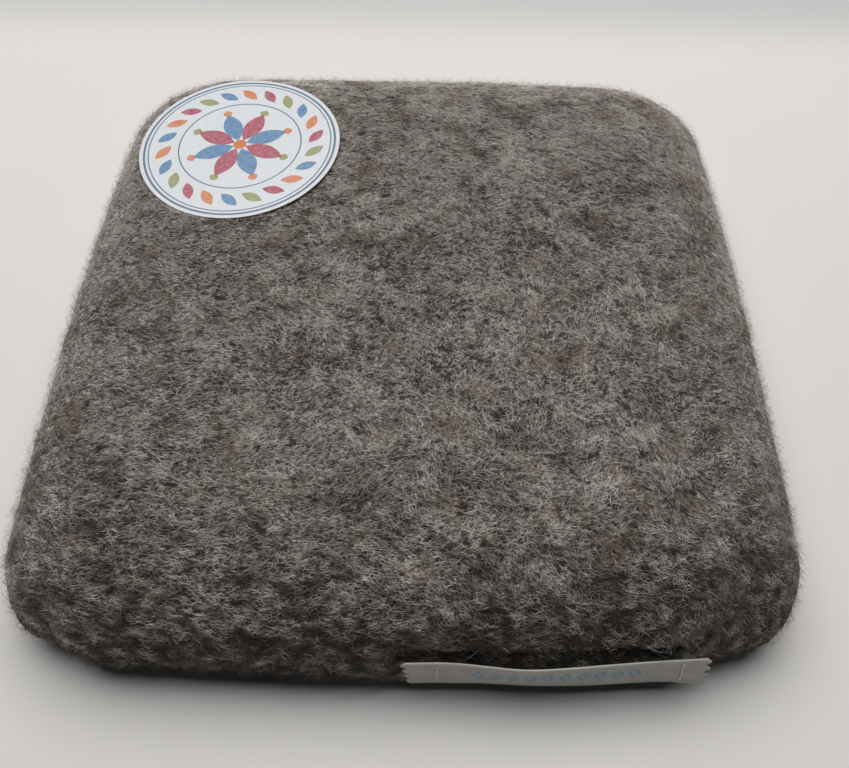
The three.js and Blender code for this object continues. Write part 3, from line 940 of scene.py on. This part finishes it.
def printedVinyl():
    # Satin vinyl film with a printed rosette: clean white, soft highlights, ink a little uneven
    material, tree, shader = startMaterial("printed satin vinyl", {"Roughness": 0.38, "IOR": 1.5})
    place = addNode(tree, "ShaderNodeAttribute", {"attribute_name": "print"}).outputs["Vector"]
    parts = addNode(tree, "ShaderNodeSeparateXYZ", None, {"Vector": place})
    radius = addNode(tree, "ShaderNodeVectorMath", {"operation": "LENGTH"}, {0: place}).outputs["Value"]
    angle = addNode(tree, "ShaderNodeMath", {"operation": "ARCTAN2"}, {
        0: parts.outputs["Y"], 1: parts.outputs["X"]}).outputs[0]
    grain = addNode(tree, "ShaderNodeTexNoise", None, {
        "Vector": place, "Scale": 1 / 1.6, "Detail": 4.0})  # ink, 1.6 mm
    colour = addRamp(tree, grain.outputs["Fac"], [(0.3, "#d5d8dc"), (0.7, sticker["white"])])
    for ringRadius, halfWidth in sticker["lineRadii"]:
        line = addNode(tree, "ShaderNodeMath", {"operation": "COMPARE"}, {
            0: radius, 1: ringRadius, 2: halfWidth})
        colour = addMix(tree, line.outputs[0], colour, linear(sticker["line"]))
    uneven = addNode(tree, "ShaderNodeMapRange", None, {
        "Value": grain.outputs["Fac"], "From Min": 0.3, "From Max": 0.7, "To Min": 0.8, "To Max": 1.0})
    for ring in ("wreath", "berries", "rosette"):
        mask, ink = petalRing(tree, radius, angle, sticker[ring])
        cover = addNode(tree, "ShaderNodeMath", {"operation": "MULTIPLY"}, {
            0: mask, 1: uneven.outputs["Result"]})
        colour = addMix(tree, cover.outputs[0], colour, ink)
    dot = addNode(tree, "ShaderNodeMath", {"operation": "LESS_THAN"}, {0: radius, 1: sticker["heart"]})
    colour = addMix(tree, dot.outputs[0], colour, linear("#cc7438"))
    tree.links.new(colour, shader.inputs["Base Color"])
    addBump(tree, shader, grain.outputs["Fac"], 0.05, 0.2)
    return material


def plainFilm(name, hexDark, hexPale, roughness):
    # Bare cast film: cut edge and underside, faintly cloudy
    material, tree, shader = startMaterial(name, {"Roughness": roughness, "IOR": 1.5})
    place = addNode(tree, "ShaderNodeTexCoord").outputs["Object"]
    cloud = addNode(tree, "ShaderNodeTexNoise", None, {
        "Vector": place, "Scale": 1 / (4 * mm), "Detail": 3.0})  # 4 mm clouds
    colour = addRamp(tree, cloud.outputs["Fac"], [(0.3, hexDark), (0.7, hexPale)])
    tree.links.new(colour, shader.inputs["Base Color"])
    return material


def discMesh(node, thickness):
    middle, radius, slope = discPlane(node)
    radii = np.linspace(0, radius - sticker["edgeRound"] * mm, sticker["rings"])[1:]
    profile = [(r, 0.5) for r in radii] + [(radius, 0.2), (radius, -0.2)] + [(r, -0.5) for r in radii[::-1]]
    angle = np.arange(sticker["around"]) * 2 * np.pi / sticker["around"]
    rows = []
    for r, level in [(0, 0.5), *profile, (0, -0.5)]:
        x, y = r * np.cos(angle), r * np.sin(angle)
        warp = np.cos(2 * angle + 0.7) * (r / radius) ** 3 * sticker["warp"] * mm
        z = slope[0] * x + slope[1] * y + slope[2] + warp + level * thickness * mm
        rows.append(np.stack([x + middle[0], y + middle[1], z], 1))
    top, foot = rows[0][:1], rows[-1][:1]
    ringCount, around = len(rows) - 2, sticker["around"]
    points = np.concatenate([top, *rows[1:-1], foot])
    ids = 1 + np.arange(ringCount * around).reshape(ringCount, around)
    after = np.roll(ids, -1, 1)
    faces = [np.stack([np.zeros(around, int), ids[0], after[0]], 1)]
    for ring in range(ringCount - 1):
        faces.append(np.stack([ids[ring], ids[ring + 1], after[ring + 1]], 1))
        faces.append(np.stack([ids[ring], after[ring + 1], after[ring]], 1))
    faces.append(np.stack([np.full(around, len(points) - 1), after[-1], ids[-1]], 1))
    faces = np.concatenate(faces)
    mesh = triangleMesh("disc", points, faces)
    local = (points - np.array([*middle, 0])) / mm
    local[:, 2] = 0
    onPrint = mesh.attributes.new("print", "FLOAT_VECTOR", "POINT")
    onPrint.data.foreach_set("vector", local.astype(np.float32).ravel())
    printed = (len(radii) * 2 - 1) * around  # faces on the top side
    mesh.polygons.foreach_set("material_index", (np.arange(len(faces)) >= printed).astype(np.int32))
    mesh.set_sharp_from_angle(angle=math.radians(40))
    return mesh


film = plainFilm("bare vinyl film", "#dfe1e2", "#f1f2f2", 0.4)
glue = plainFilm("pressure-sensitive adhesive", "#cfcabb", "#e0dccf", 0.5)
filmMesh = discMesh("sticker_film", sticker["filmThickness"])
glueMesh = discMesh("sticker_adhesive", sticker["glueThickness"])
addPiece("sticker_disc", filmMesh, [printedVinyl(), film], ["sticker_film"])
addPiece("sticker_glue_layer", glueMesh, [glue, glue], ["sticker_adhesive"])
print("sticker stuck down")


makeWebs()
print("fibre webs laid")


# Floor and light

stage = {
    "floor": "#e6e3e0",
    "size": 3.0,                      # metres
    "shade": "#cbc9c7",               # painted shade, the board darker towards the back
    "shadeFrom": (0.15, 0.2),         # metres behind the middle
    "keyPlace": (-0.04, 0.42, 1.05),   # metres
    "keySize": (1.6, 1.05),           # wide and deep
    "keyPower": 15.8,
    "skyLevel": 0.008,
    "wall": "#c9c8c6",                # pale wall behind the board
}


def makeStage():
    material, tree, shader = startMaterial("painted board", {"Roughness": 0.75, "Specular IOR Level": 0.2})
    grain = addNode(tree, "ShaderNodeTexNoise", None, {"Scale": 1 / (40 * mm), "Detail": 2.0})
    colour = addRamp(tree, grain.outputs["Fac"], [(0.3, "#e4e1de"), (0.7, stage["floor"])])
    place = addNode(tree, "ShaderNodeTexCoord").outputs["Object"]
    parts = addNode(tree, "ShaderNodeSeparateXYZ", None, {"Vector": place})
    nearest, furthest = stage["shadeFrom"]
    back = addNode(tree, "ShaderNodeMapRange", {"interpolation_type": "SMOOTHSTEP"}, {
        "Value": parts.outputs["Y"], "From Min": nearest, "From Max": furthest})
    # painted shade, the board darker towards the back
    board = addMix(tree, back.outputs["Result"], colour, linear(stage["shade"]))
    tree.links.new(board, shader.inputs["Base Color"])
    half = stage["size"] / 2
    mesh = bpy.data.meshes.new("floor")
    corners = [(-half, -half, 0), (half, -half, 0), (half, half, 0), (-half, half, 0)]
    mesh.from_pydata(corners, [], [(0, 1, 2, 3)])
    mesh.materials.append(material)
    floor = bpy.data.objects.new("floor", mesh)
    scene.collection.objects.link(floor)
    lampData = bpy.data.lights.new("key", "AREA")
    lampData.shape = "ELLIPSE"
    lampData.size, lampData.size_y = stage["keySize"]
    lampData.energy = stage["keyPower"]
    lamp = bpy.data.objects.new("key", lampData)
    lamp.location = stage["keyPlace"]
    lamp.rotation_euler = (-lamp.location).to_track_quat("-Z", "Y").to_euler()
    scene.collection.objects.link(lamp)
    world = bpy.data.worlds.new("room")
    world.use_nodes = True
    tree = world.node_tree
    room = tree.nodes["Background"]
    room.inputs["Color"].default_value = linear("#f2f4f7")
    room.inputs["Strength"].default_value = stage["skyLevel"]
    wall = addNode(tree, "ShaderNodeBackground", None, {"Color": linear(stage["wall"])})
    ray = addNode(tree, "ShaderNodeLightPath")
    shown = ray.outputs["Is Camera Ray"]
    for kind in ("Is Glossy Ray", "Is Transmission Ray"):  # pale where it is seen, plain where it lights
        shown = addNode(tree, "ShaderNodeMath", {"operation": "MAXIMUM"}, {
            0: shown, 1: ray.outputs[kind]}).outputs[0]
    both = addNode(tree, "ShaderNodeMixShader", None, {
        "Fac": shown, 1: room.outputs["Background"], 2: wall.outputs["Background"]})
    tree.links.new(both.outputs["Shader"], tree.nodes["World Output"].inputs["Surface"])
    scene.world = world


makeStage()
print("stage lit")
